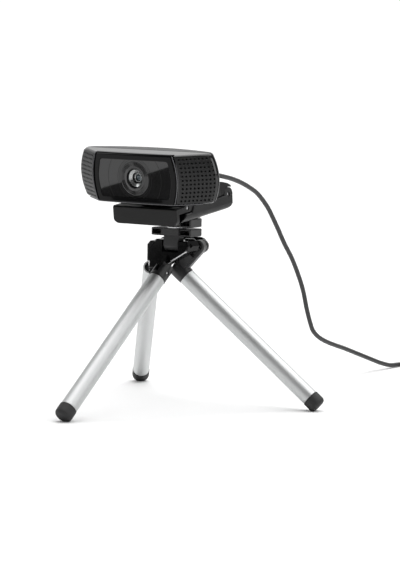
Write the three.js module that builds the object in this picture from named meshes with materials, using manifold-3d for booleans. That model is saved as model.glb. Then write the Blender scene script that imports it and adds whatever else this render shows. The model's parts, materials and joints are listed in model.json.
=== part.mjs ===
// A computer webcam on a small folding table tripod, with its USB lead.
// Millimetres, +Z up, the webcam looks along -Y. The origin is on the table, under the middle of the
// object's box without its lead. The tripod is designed around its own vertical axis (the design frame),
// and the whole design is moved to the origin at the end.
import * as THREE from "three";
import { mergeVertices } from "three/addons/utils/BufferGeometryUtils.js";
import Module from "manifold-3d";

const wasm = await Module();
wasm.setup();

// ---------------------------------------------------------------- driving dimensions
const GAP = 0.3; // between pieces that touch
const ORIGIN = { x: 11.4, y: -13.04 }; // the origin in the design frame

const SPLAY = THREE.MathUtils.degToRad(48.73); // tubes from the vertical, legs spread
const FOOT_RADIUS = 91.05; // rim of a foot cap from the tripod's axis
const RIM_HEIGHT = 7.3; // centre of that rim above the table
const LEG_OFFSET = 6.15; // each leg's plane lies beside the tripod's axis by this
const TUBE = { outer: 5.1, inner: 4.2, start: 0.3 }; // radii, and the tube's lower end above the rim
const CAP = { radius: 5.35, length: 7.2, fillet: 2.2, plugRadius: 4.0, plugLength: 8 };
const FORK = { pivot: 109, radius: 5.3, slot: 3.2, lug: 2.6, lugRadius: 3.6, pinRadius: 1.2 };
const ARM = { start: 110.2, length: 18.6, radius: 4.1, low: 3.15, high: 9.15, pinRadius: 1.5 };
const LEGS = {
  front: { azimuth: -93.57, tubeEnd: 103.6 },
  right: { azimuth: 16.14, tubeEnd: 103.9 },
  rear: { azimuth: 130.23, tubeEnd: 111.4, slotted: true }, // this tube itself is slotted for its lug
};

const HEAD_X = 8.6; // the head and the webcam are centred on this
const TILT = { y: -1.6, z: 95.5, pinRadius: 1.2 }; // pin of the tilting head
const PLATE = { half: 14.4, front: -4.4, rear: 7.4 }; // both platform plates
const CLIP = { y: -19.6, z: 119.5, half: 23 }; // the camera's tilt pin, and half the clip's width
const PITCH = THREE.MathUtils.degToRad(7.4); // clip and camera lean forward
const CLIP_PIN = { y: 42.3, z: 0.4, knuckle: 4.3, radius: 1.3 }; // rear hinge, in the clip's frame
const CAMERA = { y: -41.4, z: 136.4 }; // centre of the camera's front plate
const BODY = { half: 49, height: 29, depth: 25, bulge: 4, wall: 1.8, split: 15 };
const WINDOW = { half: 27.3, bulge: 2.8, depth: 2 };
const SCREW = { x: 29, z: 8 }; // screws of the rear housing, in the camera's frame
const LIGHT_X = 15.5; // the status lights beside the lens
const RELIEF = { x: 18, z: -3.5 }; // where the lead leaves the rear housing

const CORD_RADIUS = 1.4;
const PLUG = { x: 97.2, y: 245.45, z: 4.25, turn: THREE.MathUtils.degToRad(-36.5) };
const COIL = { x: 62, y: 234.5, turnRadius: 15.5, width: 11.4, height: 11.2 };

// ---------------------------------------------------------------- materials
const blackPlastic = material(0x1b1b1d, 0.45, 0);
const glossBlack = material(0x0c0c0e, 0.12, 0);
const rubber = material(0x161616, 0.85, 0);
const silver = material(0xc4c6c9, 0.3, 1);
const steel = material(0xb0b2b5, 0.25, 1);
const brass = material(0xb8954a, 0.3, 1);
const glass = material(0x0b1016, 0.03, 0);
const board = material(0x1c5a36, 0.5, 0);
const lamp = material(0xdfe6ea, 0.3, 0);
const whitePlastic = material(0xe8e8e6, 0.5, 0);
const lead = material(0x202124, 0.6, 0);

function material(color, roughness, metalness) {
  return new THREE.MeshStandardMaterial({ color, roughness, metalness });
}

// ---------------------------------------------------------------- solids
function toSolid(geometry) {
  const bare = geometry.index ? geometry.toNonIndexed() : geometry.clone();
  bare.deleteAttribute("normal");
  bare.deleteAttribute("uv");
  const merged = mergeVertices(bare, 1e-4);
  const vertProperties = merged.attributes.position.array;
  return new wasm.Manifold(
    new wasm.Mesh({ numProp: 3, vertProperties, triVerts: new Uint32Array(merged.index.array) }),
  );
}

function toGeometry(solid) {
  const { vertProperties, triVerts } = solid.getMesh();
  return new THREE.BufferGeometry()
    .setAttribute("position", new THREE.BufferAttribute(vertProperties, 3))
    .setIndex(new THREE.BufferAttribute(triVerts, 1))
    .toNonIndexed();
}

function join(...solids) {
  return solids.reduce((all, one) => all.add(one));
}

function cut(solid, ...tools) {
  return tools.reduce((rest, tool) => rest.subtract(tool), solid);
}

function box(x, y, z) {
  const size = [x, y, z].map(([low, high]) => high - low);
  const middle = [x, y, z].map(([low, high]) => (low + high) / 2);
  return toSolid(new THREE.BoxGeometry(...size).translate(...middle));
}

// A straight round bar between two points.
function rod(from, to, radius, segments = 20) {
  const a = new THREE.Vector3(...from);
  const b = new THREE.Vector3(...to);
  const along = b.clone().sub(a);
  const turn = new THREE.Quaternion().setFromUnitVectors(
    new THREE.Vector3(0, 1, 0),
    along.clone().normalize(),
  );
  const place = new THREE.Matrix4().compose(a.add(b).multiplyScalar(0.5), turn, new THREE.Vector3(1, 1, 1));
  return toSolid(new THREE.CylinderGeometry(radius, radius, along.length(), segments).applyMatrix4(place));
}

function shapeOf(outline) {
  if (outline instanceof THREE.Shape) return outline;
  return new THREE.Shape(outline.map(([a, b]) => new THREE.Vector2(a, b)));
}

// An outline in the plane of u and v, made solid along their normal from low to high.
function extrude(outline, u, v, low, high, bevel = 0, curveSegments = 4) {
  const normal = u.clone().cross(v);
  const options = {
    depth: high - low - 2 * bevel,
    bevelEnabled: bevel > 0,
    bevelThickness: bevel,
    bevelSize: bevel,
    bevelOffset: -bevel,
    bevelSegments: 1,
    curveSegments,
  };
  const place = new THREE.Matrix4().makeBasis(u, v, normal).setPosition(normal.multiplyScalar(low + bevel));
  return toSolid(new THREE.ExtrudeGeometry(shapeOf(outline), options).applyMatrix4(place));
}

const X = new THREE.Vector3(1, 0, 0);
const Y = new THREE.Vector3(0, 1, 0);
const Z = new THREE.Vector3(0, 0, 1);
const alongX = (yz, low, high, bevel, segments) => extrude(yz, Y, Z, low, high, bevel, segments);
const alongY = (xz, low, high, bevel, segments) => extrude(xz, X, Z, -high, -low, bevel, segments);
const alongZ = (xy, low, high, bevel, segments) => extrude(xy, X, Y, low, high, bevel, segments);

// A rectangle with round corners.
function roundRect(left, right, bottom, top, radius) {
  const shape = new THREE.Shape();
  shape.moveTo(left + radius, bottom);
  shape.lineTo(right - radius, bottom);
  shape.absarc(right - radius, bottom + radius, radius, -Math.PI / 2, 0);
  shape.absarc(right - radius, top - radius, radius, 0, Math.PI / 2);
  shape.absarc(left + radius, top - radius, radius, Math.PI / 2, Math.PI);
  shape.absarc(left + radius, bottom + radius, radius, Math.PI, 1.5 * Math.PI);
  return shape;
}

// A strip with round ends around the line from a to b.
function pill([ax, ay], [bx, by], radius) {
  const turn = Math.atan2(by - ay, bx - ax);
  const shape = new THREE.Shape();
  shape.absarc(bx, by, radius, turn - Math.PI / 2, turn + Math.PI / 2);
  shape.absarc(ax, ay, radius, turn + Math.PI / 2, turn + 1.5 * Math.PI);
  return shape;
}

// A round profile [radius, y] turned about the y axis.
function turnedOnY(profile, segments) {
  return toSolid(new THREE.LatheGeometry(profile.map(([r, y]) => new THREE.Vector2(r, y)), segments));
}

function mesh(name, solid, look) {
  const made = new THREE.Mesh(toGeometry(solid), look.clone());
  made.name = name;
  return made;
}

// ---------------------------------------------------------------- legs
const axisPoint = (s) => [FOOT_RADIUS - s * Math.sin(SPLAY), RIM_HEIGHT + s * Math.cos(SPLAY)];
const forkPivot = axisPoint(FORK.pivot);
const armStart = axisPoint(ARM.start);
const armPivot = [
  armStart[0] + ARM.length * Math.cos(SPLAY),
  armStart[1] + ARM.length * Math.sin(SPLAY),
];

// The directions of one leg: outward, and sideways.
function legAxes(leg) {
  const angle = THREE.MathUtils.degToRad(leg.azimuth);
  const radial = new THREE.Vector3(Math.cos(angle), Math.sin(angle), 0);
  return { radial, tangent: Z.clone().cross(radial) };
}

// A point of a leg: outward r, sideways t, height z.
function legPoint(leg, [r, z], t) {
  const { radial, tangent } = legAxes(leg);
  return radial.multiplyScalar(r).addScaledVector(tangent, t).setZ(z).toArray();
}

// An outline in a leg's plane, solid from sideways low to high.
function acrossLeg(leg, outline, low, high, bevel, segments) {
  const { radial } = legAxes(leg);
  return extrude(outline, radial, Z, -high, -low, bevel, segments);
}

// A round profile [radius, distance up the tube's axis] turned about a leg's tube axis.
function turnedOnTube(leg, profile, segments = 24) {
  const { radial } = legAxes(leg);
  const up = radial.clone().multiplyScalar(-Math.sin(SPLAY)).addScaledVector(Z, Math.cos(SPLAY));
  const side = legAxes(leg).tangent;
  const place = new THREE.Matrix4().makeBasis(side, up, side.clone().cross(up));
  place.setPosition(...legPoint(leg, axisPoint(0), LEG_OFFSET));
  const points = profile.map(([r, s]) => new THREE.Vector2(r, s));
  return toSolid(new THREE.LatheGeometry(points, segments).applyMatrix4(place));
}

const disc = (radius, low, high) => [[0, low], [radius, low], [radius, high], [0, high]];

function legTube(leg) {
  const { outer, inner, start } = TUBE;
  const top = leg.tubeEnd;
  const wall = [[inner, start], [outer, start], [outer, top], [inner, top], [inner, start]];
  const tube = turnedOnTube(leg, wall);
  return leg.slotted ? cut(tube, forkSlot(leg), pinHole(leg)) : tube;
}

function footCap(leg) {
  const { radius, length, fillet, plugRadius, plugLength } = CAP;
  const profile = [[0, -length]];
  for (const turn of [0, 0.25, 0.5, 0.75, 1]) {
    const angle = (turn * Math.PI) / 2;
    profile.push([radius - fillet + fillet * Math.sin(angle), -length + fillet - fillet * Math.cos(angle)]);
  }
  profile.push([radius, 0], [plugRadius, 0], [plugRadius, plugLength], [0, plugLength]);
  const table = box([-200, 200], [-200, 200], [-20, 0]);
  return cut(turnedOnTube(leg, profile), table);
}

const forkSlot = (leg) =>
  acrossLeg(
    leg,
    pill(forkPivot, [forkPivot[0] - 12 * Math.sin(SPLAY), forkPivot[1] + 12 * Math.cos(SPLAY)], 6),
    LEG_OFFSET - FORK.slot / 2,
    LEG_OFFSET + FORK.slot / 2,
  ).intersect(turnedOnTube(leg, disc(9, FORK.pivot - FORK.lugRadius - 0.5, FORK.pivot + 20)));

const pinHole = (leg) =>
  rod(legPoint(leg, forkPivot, -20), legPoint(leg, forkPivot, 30), FORK.pinRadius + 0.1);

// The insert in the top of a front or rear tube, forked over the hub's lug.
function forkInsert(leg) {
  const { pivot, radius } = FORK;
  const base = leg.tubeEnd + GAP;
  const plug = turnedOnTube(leg, disc(CAP.plugRadius, 92, leg.slotted ? pivot + 1.5 : base + 0.5));
  if (leg.slotted) return cut(plug, forkSlot(leg), pinHole(leg));
  const barrel = turnedOnTube(leg, disc(radius, base, pivot + radius));
  const roundEnd = acrossLeg(leg, pill(axisPoint(90), forkPivot, radius), LEG_OFFSET - 6, LEG_OFFSET + 6);
  return cut(join(plug, barrel.intersect(roundEnd)), forkSlot(leg), pinHole(leg));
}

function forkPin(leg) {
  const reach = leg.slotted ? 4.9 : 4.4;
  return rod(
    legPoint(leg, forkPivot, LEG_OFFSET - reach),
    legPoint(leg, forkPivot, LEG_OFFSET + reach),
    FORK.pinRadius,
  );
}

// The right leg's crank: plug and collar on the tube, and a flat arm up to its pivot.
function crankArm(leg) {
  const collar = turnedOnTube(leg, [
    [0, 96], [4, 96], [4, leg.tubeEnd + GAP], [5.4, leg.tubeEnd + GAP],
    [5.4, 112.2], [4.4, 113.4], [0, 113.4],
  ]);
  const arm = acrossLeg(leg, pill(armStart, armPivot, ARM.radius), ARM.low, ARM.high, 0.5);
  const along = (d) => [armStart[0] + d * Math.cos(SPLAY), armStart[1] + d * Math.sin(SPLAY)];
  const recess = acrossLeg(leg, pill(along(7.5), along(13.2), 2.2), ARM.low - 1, ARM.low + 0.6);
  const hole = rod(legPoint(leg, armPivot, 0), legPoint(leg, armPivot, 12), ARM.pinRadius + 0.1);
  return cut(join(collar, arm), recess, hole);
}

function legGroup(name) {
  const leg = LEGS[name];
  const group = new THREE.Group();
  group.add(mesh(`leg_tube_${name}`, legTube(leg), silver));
  group.add(mesh(`foot_cap_${name}`, footCap(leg), rubber));
  if (name === "right") {
    group.add(mesh("leg_crank_right", crankArm(leg), blackPlastic));
    const pin = rod(legPoint(leg, armPivot, ARM.low + 0.4), legPoint(leg, armPivot, 14.9), ARM.pinRadius);
    group.add(mesh("leg_pin_right", pin, steel));
  } else {
    group.add(mesh(`leg_fork_${name}`, forkInsert(leg), blackPlastic));
    group.add(mesh(`leg_pin_${name}`, forkPin(leg), steel));
  }
  return group;
}

// ---------------------------------------------------------------- hub
// The hub: a block in front of the right leg's slot, a cheek behind it, a bridge on the left between
// them, and a lug for the front leg and for the rear leg.
function hub() {
  const { front, right, rear } = LEGS;
  const face = [
    [-6.9, 81.5], [-6.3, 81.0], [1.2, 80.9], [20.6, 92.2],
    [21.6, 95.2], [20.4, 98.2], [-1.9, 98.6], [-6.9, 92.4],
  ];
  const block = alongY(face, -5, 12, 0.6);
  const bridgeOutline = [[-9.2, 85.2], [-4.2, 85.2], [-4.2, 97.2], [-7.4, 97.2], [-9.2, 95]];
  const bridge = acrossLeg(right, bridgeOutline, -2.6, 14.8, 0.4);
  const cheekOutline = [
    [-9.2, 85.2], [16, 87.2], [20.6, 89.5], [24.4, 91.8], [25.2, 94.6],
    [23.4, 98], [19, 99.2], [-1, 99.2], [-5, 98.2], [-9.2, 95],
  ];
  const cheek = acrossLeg(right, cheekOutline, 12.1, 14.8, 0.4);
  const boss = acrossLeg(right, pill(armPivot, [armPivot[0] + 0.1, armPivot[1]], 4.2), ARM.high + 0.25, 12.6);
  const slot = acrossLeg(right, [[-4.2, 70], [60, 70], [60, 110], [-4.2, 110]], 0.35, 12.1);
  const lugSides = [LEG_OFFSET - FORK.lug / 2, LEG_OFFSET + FORK.lug / 2];
  const lugs = [
    acrossLeg(front, pill(forkPivot, [2.6, 86.8], FORK.lugRadius), ...lugSides),
    acrossLeg(rear, pill(forkPivot, [3.6, 87.2], FORK.lugRadius), ...lugSides),
  ];
  const tubeForm = pill(forkPivot, axisPoint(60), 6.1);
  const room = (leg) => acrossLeg(leg, tubeForm, LEG_OFFSET - 5.7, LEG_OFFSET + 5.7);
  const tongueRoom = box([HEAD_X - 5.8, HEAD_X + 5.8], [-8, TILT.y + 3.9], [TILT.z - 4.2, 110]);
  const ears = alongX([[-9, 98.9], [12, 98.9], [12, 120], [-9, 120]], -30, 40);
  const tiltHole = rod([-20, TILT.y, TILT.z], [40, TILT.y, TILT.z], TILT.pinRadius + 0.1);
  const armHole = rod(legPoint(right, armPivot, 5), legPoint(right, armPivot, 15.2), ARM.pinRadius + 0.1);
  const blockInFront = cut(block, slot);
  const body = cut(join(blockInFront, bridge, cheek), room(front), room(rear), tongueRoom);
  const throughBlock = tiltHole.intersect(box([-30, 40], [-9, 3], [80, 110]));
  const holes = [throughBlock, armHole, pinHole(front), pinHole(rear)];
  return cut(join(cut(body, ears.intersect(box([-30, 40], [-9, 7], [80, 120]))), boss, ...lugs), ...holes);
}

function hubGroup() {
  const group = new THREE.Group();
  group.add(mesh("hub", hub(), glossBlack));
  const pin = rod([HEAD_X - 9, TILT.y, TILT.z], [HEAD_X + 11.4, TILT.y, TILT.z], TILT.pinRadius);
  group.add(mesh("head_tilt_pin", pin, steel));
  return group;
}

// ---------------------------------------------------------------- head
function headGroup() {
  const group = new THREE.Group();
  const { half, front, rear } = PLATE;
  const left = HEAD_X - half;
  const right = HEAD_X + half;
  const plate = alongZ(roundRect(left, right, front, rear, 0.8), 100.8, 105.4, 0.4);
  const heel = alongX([[rear - 1.6, 100.4], [rear + 1, 100.4], [rear + 1, 103]], left - 1, right + 1);
  const block = box([HEAD_X - 6.3, HEAD_X + 6.3], [front - 0.9, rear - 1], [101.2, 105.2]);
  const tongueSide = [
    [TILT.y - 2.6, 101.2], [TILT.y - 3.1, 95], [TILT.y - 1.6, 92.3],
    [TILT.y + 1.6, 92.3], [TILT.y + 3.3, 95], [TILT.y + 3.3, 101.2],
  ];
  const tongue = alongX(tongueSide, HEAD_X - 5.4, HEAD_X + 5.4, 0.4);
  const screwHole = rod([HEAD_X, 1.5, 90], [HEAD_X, 1.5, 120], 3.4);
  const pinHoleX = rod([-20, TILT.y, TILT.z], [40, TILT.y, TILT.z], TILT.pinRadius + 0.1);
  const headRoom = screwHole.intersect(box([-50, 50], [-20, 20], [100.6, 110]));
  const stem = cut(join(cut(plate, heel), block, tongue), headRoom, pinHoleX);
  group.add(mesh("tilt_stem", stem, blackPlastic));
  const upper = alongZ(roundRect(left, right, front, rear, 0.8), 106.3, 111.5, 0.4);
  group.add(mesh("upper_plate", cut(upper, screwHole), blackPlastic));

  const shank = rod([HEAD_X, 1.5, 103.2], [HEAD_X, 1.5, 118.6], 3.1);
  const headDisc = rod([HEAD_X, 1.5, 101.1], [HEAD_X, 1.5, 103.4], 3.2);
  const wheel = rod([HEAD_X, 1.5, 105.55], [HEAD_X, 1.5, 106.15], 6);
  group.add(mesh("camera_screw", join(shank, headDisc, wheel), steel));

  const clip = new THREE.Group();
  clip.position.set(HEAD_X, CLIP.y, CLIP.z);
  clip.rotation.x = PITCH;
  clip.updateMatrixWorld(true);
  const intoClip = (solid) =>
    toSolid(toGeometry(solid).applyMatrix4(clip.matrixWorld.clone().invert()));

  const { half: wide } = CLIP;
  const { y: py, z: pz, knuckle, radius } = CLIP_PIN;
  const footSide = [
    [-6.2, -8.7], [41.5, -8.7], [44.6, -7.8], [46.4, -5.4], [46.6, 0.4],
    [36.5, 0.25], [6.2, 0.25], [4.4, -3.4], [-1.6, -3.4],
  ];
  const foot = alongX(footSide, -wide, wide, 0.6);
  const footKnuckles = rod([-wide + 0.3, py, pz], [wide - 0.3, py, pz], knuckle);
  const middleRoom = rod([-13.4, py, pz], [13.4, py, pz], knuckle + 0.6);
  const pinRoom = rod([-30, py, pz], [30, py, pz], radius + 0.1);
  const insertRoom = intoClip(rod([HEAD_X, 1.5, 100], [HEAD_X, 1.5, 119.2], 4.9));
  const ledge = box([-11.5, 11.5], [9.6, 32], [-6.6, 2]);
  const footSolid = cut(join(foot, footKnuckles), middleRoom, pinRoom, insertRoom, ledge);
  clip.add(mesh("clip_foot", footSolid, blackPlastic));
  clip.add(mesh("clip_hinge_pin", rod([-wide + 1, py, pz], [wide - 1, py, pz], radius), steel));
  group.add(clip);

  const thread = rod([HEAD_X, 1.5, 100], [HEAD_X, 1.5, 130], 3.3);
  const insert = cut(rod([HEAD_X, 1.5, 113.9], [HEAD_X, 1.5, 118.9], 4.6), thread);
  group.add(mesh("tripod_insert", insert, brass));
  const padTop = (y) => CLIP.z + (y - CLIP.y) * Math.tan(PITCH) - 8.7 / Math.cos(PITCH) - 0.25;
  const padSide = [
    [front + 0.2, 111.75], [rear - 0.2, 111.75],
    [rear - 0.2, padTop(rear - 0.2)], [front + 0.2, padTop(front + 0.2)],
  ];
  const pad = cut(alongX(padSide, left + 1, right - 1), rod([HEAD_X, 1.5, 100], [HEAD_X, 1.5, 120], 5.1));
  group.add(mesh("foot_pad", pad, rubber));
  return group;
}

// ---------------------------------------------------------------- clip
// The upper arm with its front lip, hinged to the foot at the rear and to the camera near the front.
function clipGroup() {
  const group = new THREE.Group();
  group.position.set(HEAD_X, CLIP.y, CLIP.z);
  group.rotation.x = PITCH;
  const { half } = CLIP;
  const { y: py, z: pz, knuckle, radius } = CLIP_PIN;
  const side = [
    [-11.8, -9.1], [-8.6, -9.1], [-8.4, -2.6], [-3, -2.7], [3.2, -2.6], [5.6, 0.7], [36.5, 0.75], [41, 4.9],
    [44.5, 4.6], [45.6, 4.4], [45.2, 5.6], [42, 7.3], [36.5, 9], [31.7, 9.7], [27, 9.4], [17, 6.6], [8, 3],
    [3, 2.2], [-3, 2.1], [-4, 1.3], [-10.9, 1.3], [-11.8, 0.5],
  ];
  const arm = alongX(side, -half, half, 0.4);
  const middle = rod([-12.8, py, pz], [12.8, py, pz], knuckle);
  const neck = alongX([[36, 1], [38.5, 0.9], [42.3, -3], [46, 2.6], [44.5, 6], [38, 7]], -12.8, 12.8)
    .intersect(join(rod([-30, py, pz], [30, py, pz], knuckle), box([-30, 30], [36, 46], [0.8, 7])));
  const sideRoom = [-1, 1].map((s) => rod([s * 13.2, py, pz], [s * 30, py, pz], knuckle + GAP));
  const pinRoom = rod([-30, py, pz], [30, py, pz], radius + 0.1);
  const notch = box([-9.2, 9.2], [-4.2, 6.4], [-4, 4]);
  const tiltPinRoom = rod([-30, 0, 0], [30, 0, 0], 1.2);
  const lipCorners = [-1, 1].map((s) => cornerCut(s * half, -9.1, 4));
  const insertTop = box([-8, 8], [12, 32], [-2, 2.4]);
  const whole = join(cut(arm, ...sideRoom), middle, neck);
  const armSolid = cut(whole, pinRoom, notch, tiltPinRoom, ...lipCorners, insertTop);
  group.add(mesh("clip_arm", armSolid, blackPlastic));
  group.add(mesh("lip_pad", alongY(roundRect(-17, 17, -8, -3.4, 1), -8.1, -7.3), rubber));
  group.add(mesh("camera_hinge_pin", rod([-half + 0.5, 0, 0], [half - 0.5, 0, 0], 1.1), steel));
  return group;
}

// What is taken away to round a lower corner of the lip.
function cornerCut(x, z, radius) {
  const inward = -Math.sign(x);
  const edges = [x - inward * 2, x + inward * radius].sort((a, b) => a - b);
  const square = box(edges, [-20, -6], [z - 2, z + radius]);
  const centre = [x + inward * radius, z + radius];
  return cut(square, rod([centre[0], -30, centre[1]], [centre[0], 0, centre[1]], radius, 32));
}

// ---------------------------------------------------------------- camera
// The camera's plan: a nearly flat front, wings swept back to round ends, and an arched back.
function plan(inset) {
  const { half, depth } = BODY;
  const shape = new THREE.Shape();
  const end = half - inset;
  shape.moveTo(-30, inset + 0.9);
  shape.quadraticCurveTo(0, inset - 0.9, 30, inset + 0.9);
  shape.lineTo(end - 4.5, 9.9 + inset);
  shape.quadraticCurveTo(end, 12.6 + inset * 0.6, end, 15.2);
  shape.quadraticCurveTo(end, 18.2 - inset * 0.5, end - 4.5, 19.6 - inset * 0.8);
  shape.quadraticCurveTo(24, depth - inset, 0, depth - inset);
  shape.quadraticCurveTo(-24, depth - inset, -end + 4.5, 19.6 - inset * 0.8);
  shape.quadraticCurveTo(-end, 18.2 - inset * 0.5, -end, 15.2);
  shape.quadraticCurveTo(-end, 12.6 + inset * 0.6, -end + 4.5, 9.9 + inset);
  shape.lineTo(-30, inset + 0.9);
  return shape;
}

// A front view with flat top and bottom and bulging ends.
function barrel(half, bulge, height) {
  const shape = new THREE.Shape();
  shape.moveTo(-half, -height / 2);
  shape.lineTo(half, -height / 2);
  shape.quadraticCurveTo(half + 2 * bulge, 0, half, height / 2);
  shape.lineTo(-half, height / 2);
  shape.quadraticCurveTo(-half - 2 * bulge, 0, -half, -height / 2);
  return shape;
}

function bodyForm(inset) {
  const { half, bulge, height } = BODY;
  const tall = alongZ(plan(inset), -height / 2 + inset, height / 2 - inset, inset ? 0 : 1.4, 6);
  return tall.intersect(alongY(barrel(half - bulge - inset, bulge, height + 2), -5, 40, 0, 6));
}

function cameraGroup() {
  const group = new THREE.Group();
  group.position.set(HEAD_X, CAMERA.y, CAMERA.z);
  group.rotation.x = PITCH;
  const { wall, split, height } = BODY;
  const everywhere = [-90, 90];
  const outside = bodyForm(0);
  const inside = bodyForm(wall);
  const platePocket = alongY(barrel(WINDOW.half + 0.25, WINDOW.bulge, height + 2), -5, WINDOW.depth + 1.1);
  const wings = [-1, 1].map((side) => grilleBlock(side, 0.25));
  const opening = box([-22, 22], [0, 8], [-9, 9]);
  const shell = cut(outside, inside);
  const frontHalf = shell.intersect(box(everywhere, [-10, split], everywhere));
  const backing = barrel(WINDOW.half + 0.6, WINDOW.bulge, height + 2);
  const plateBack = bodyForm(0).intersect(alongY(backing, WINDOW.depth + 1.1, WINDOW.depth + 2.6));
  const front = join(cut(frontHalf, platePocket, ...wings), cut(plateBack, opening));
  group.add(mesh("front_housing", front, blackPlastic));

  const cordHole = rod([RELIEF.x, 15, RELIEF.z], [RELIEF.x, 40, RELIEF.z], 3.1);
  const back = shell.intersect(box(everywhere, [split + GAP, 60], everywhere));
  group.add(mesh("rear_housing", cut(back, cordHole), blackPlastic));

  const plateForm = outside.intersect(
    alongY(barrel(WINDOW.half, WINDOW.bulge, height + 2), -5, WINDOW.depth + 0.8),
  );
  const glassRoom = barrel(23.4, 2.9, 22.6);
  const lensRoom = rod([0, -5, 0], [0, 10, 0], 7.9, 40);
  group.add(mesh("front_bezel", cut(plateForm, alongY(glassRoom, -5, 10)), glossBlack));
  const pane = outside.intersect(alongY(barrel(23.1, 2.8, 22.2), -5, WINDOW.depth + 0.4));
  group.add(mesh("front_window", cut(pane, lensRoom), glass));

  const ring = turnedOnY([[5.2, 1.4], [7.6, 0.5], [7.6, 5.6], [6.3, 5.6], [5.2, 3.4], [5.2, 1.4]], 40);
  group.add(mesh("lens_ring", ring, glossBlack));
  const barrelSolid = cut(rod([0, 6, 0], [0, 15.4, 0], 6, 32), rod([0, 0, 0], [0, 12, 0], 3.6, 24));
  group.add(mesh("lens_barrel", barrelSolid, blackPlastic));
  const dome = turnedOnY([[0, 5.4], [1.8, 5.6], [3.3, 6.4], [3.3, 8.6], [0, 8.6]], 28);
  group.add(mesh("lens_glass", dome, glass));
  const holder = cut(box([-7.5, 7.5], [12.4, 15.2], [-7.5, 7.5]), rod([0, 9, 0], [0, 20, 0], 6.3, 32));
  group.add(mesh("lens_holder", holder, blackPlastic));
  group.add(mesh("image_sensor", box([-4, 4], [15.7, 16.8], [-3, 3]), steel));
  const atScrew = (side, y) => [side * SCREW.x, y, SCREW.z];
  const screwRoom = [-1, 1].map((side) => rod(atScrew(side, 10), atScrew(side, 30), 2.6));
  group.add(mesh("circuit_board", cut(box([-37, 37], [17.1, 18.3], [-10.5, 10.5]), ...screwRoom), board));

  for (const [word, side] of [["left", -1], ["right", 1]]) {
    const panel = grilleBlock(side, 0).intersect(outside).subtract(bodyForm(1.3));
    group.add(mesh(`grille_${word}`, panel, glossBlack));
    group.add(mesh(`microphone_${word}`, rod([side * 34, 11.6, 0], [side * 34, 16.8, 0], 3), steel));
    const light = box([side * LIGHT_X - 1.2, side * LIGHT_X + 1.2], [4.9, 6.4], [-2.2, 2.2]);
    group.add(mesh(`status_light_${word}`, light, lamp));
    group.add(mesh(`housing_screw_${word}`, housingScrew(side), steel));
  }
  group.add(mesh("hinge_bracket", hingeBracket(), blackPlastic));
  group.add(mesh("cable_relief", cableRelief(), rubber));
  return group;
}

// The block that a side grille is cut from, with some room around it.
function grilleBlock(side, room) {
  const outline = [
    [30.9, -13.2], [45.2, -12.6], [46.6, -6], [46.6, 6], [45.2, 12.6], [30.9, 13.2], [33.1, 6], [33.1, -6],
  ];
  const grown = outline.map(([x, z]) => [side * (x + (x < 40 ? -room : room)), z + Math.sign(z) * room]);
  const ordered = side > 0 ? grown : grown.reverse();
  return alongY(ordered, -5, 13.4 + room);
}

function housingScrew(side) {
  const x = side * SCREW.x;
  const { z } = SCREW;
  const head = rod([x, 18.6, z], [x, 19.8, z], 2.2, 16);
  const shank = rod([x, 12, z], [x, 18.8, z], 0.9, 12);
  return cut(join(head, shank), box([x - 0.4, x + 0.4], [19.4, 21], [z - 2, z + 2]));
}

// The bracket under the camera, down to its tilt pin.
function hingeBracket() {
  const pin = [CLIP.y - CAMERA.y, CLIP.z - CAMERA.z];
  const y = pin[0] * Math.cos(PITCH) + pin[1] * Math.sin(PITCH);
  const z = pin[1] * Math.cos(PITCH) - pin[0] * Math.sin(PITCH);
  const plate = box([-10, 10], [y - 6, y + 2.4], [-16.4, -14.8]);
  const neck = box([-8.8, 8.8], [y - 2.3, y + 2.3], [z, -15.2]);
  const knuckle = rod([-8.8, y, z], [8.8, y, z], 2.4);
  return cut(join(plate, neck, knuckle), rod([-20, y, z], [20, y, z], 1.2));
}

function cableRelief() {
  const profile = [
    [1.55, 19.2], [4.2, 19.2], [4.2, 21.2], [2.8, 21.4], [2.8, 26.4], [2.3, 33], [1.55, 33], [1.55, 19.2],
  ];
  return turnedOnY(profile, 20).translate([RELIEF.x, 0, RELIEF.z]);
}

// ---------------------------------------------------------------- lead
// The lead's route in the design frame: out of the camera's back over the clip, which carries that part,
// then down behind the tripod to the table and on to the coil. The open steps between the camera, the clip
// and the rest let them move.
const OVER_CLIP = [
  [26.6, 0.3, 138.05], [26.6, 5, 138.2], [26.6, 12, 137.6], [26.5, 22, 135.9], [26.3, 30, 134.4],
];
const ROUTE = [
  [26.2, 35.6, 133.2], [26, 43, 131.1], [26, 52, 127.8], [26, 60, 124.1], [26, 67, 119.2], [26, 73, 113.9],
  [26, 78.5, 107.6], [26, 84.5, 100.2], [26, 91, 91.8], [26, 101, 80.4], [26, 109.3, 68.2], [26, 114, 59.6],
  [26, 118, 49], [26, 122, 40.2], [26, 125.6, 34.2], [26, 130.6, 30.2], [26, 138, 26.6], [26, 149, 22.9],
  [26, 163.3, 18.8], [26, 178, 14.2], [26, 195, 8.9], [26, 209, 4.6], [26, 221, 1.9], [26.4, 230, 1.45],
  [29.2, 241, 1.42], [35.6, 249.4, 1.42], [43.6, 253.6, 1.42], [50.4, 254.2, 1.42],
];
const TAIL = [[73.6, 254.2, 1.45], [80, 254.1, 1.6], [86.5, 252.3, 2.4], [92.4, 249, 3.6], [97, 245.6, 4.2]];

function cordAlong(points) {
  const curve = new THREE.CatmullRomCurve3(points.map((p) => new THREE.Vector3(...p)), false, "centripetal");
  const steps = Math.round(curve.getLength() / (CORD_RADIUS * 5));
  const section = new THREE.Shape();
  section.absarc(0, 0, CORD_RADIUS, 0, 2 * Math.PI);
  const geometry = new THREE.ExtrudeGeometry(section, {
    steps,
    extrudePath: curve,
    bevelEnabled: false,
    curveSegments: 4,
  });
  return toSolid(geometry);
}

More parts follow.
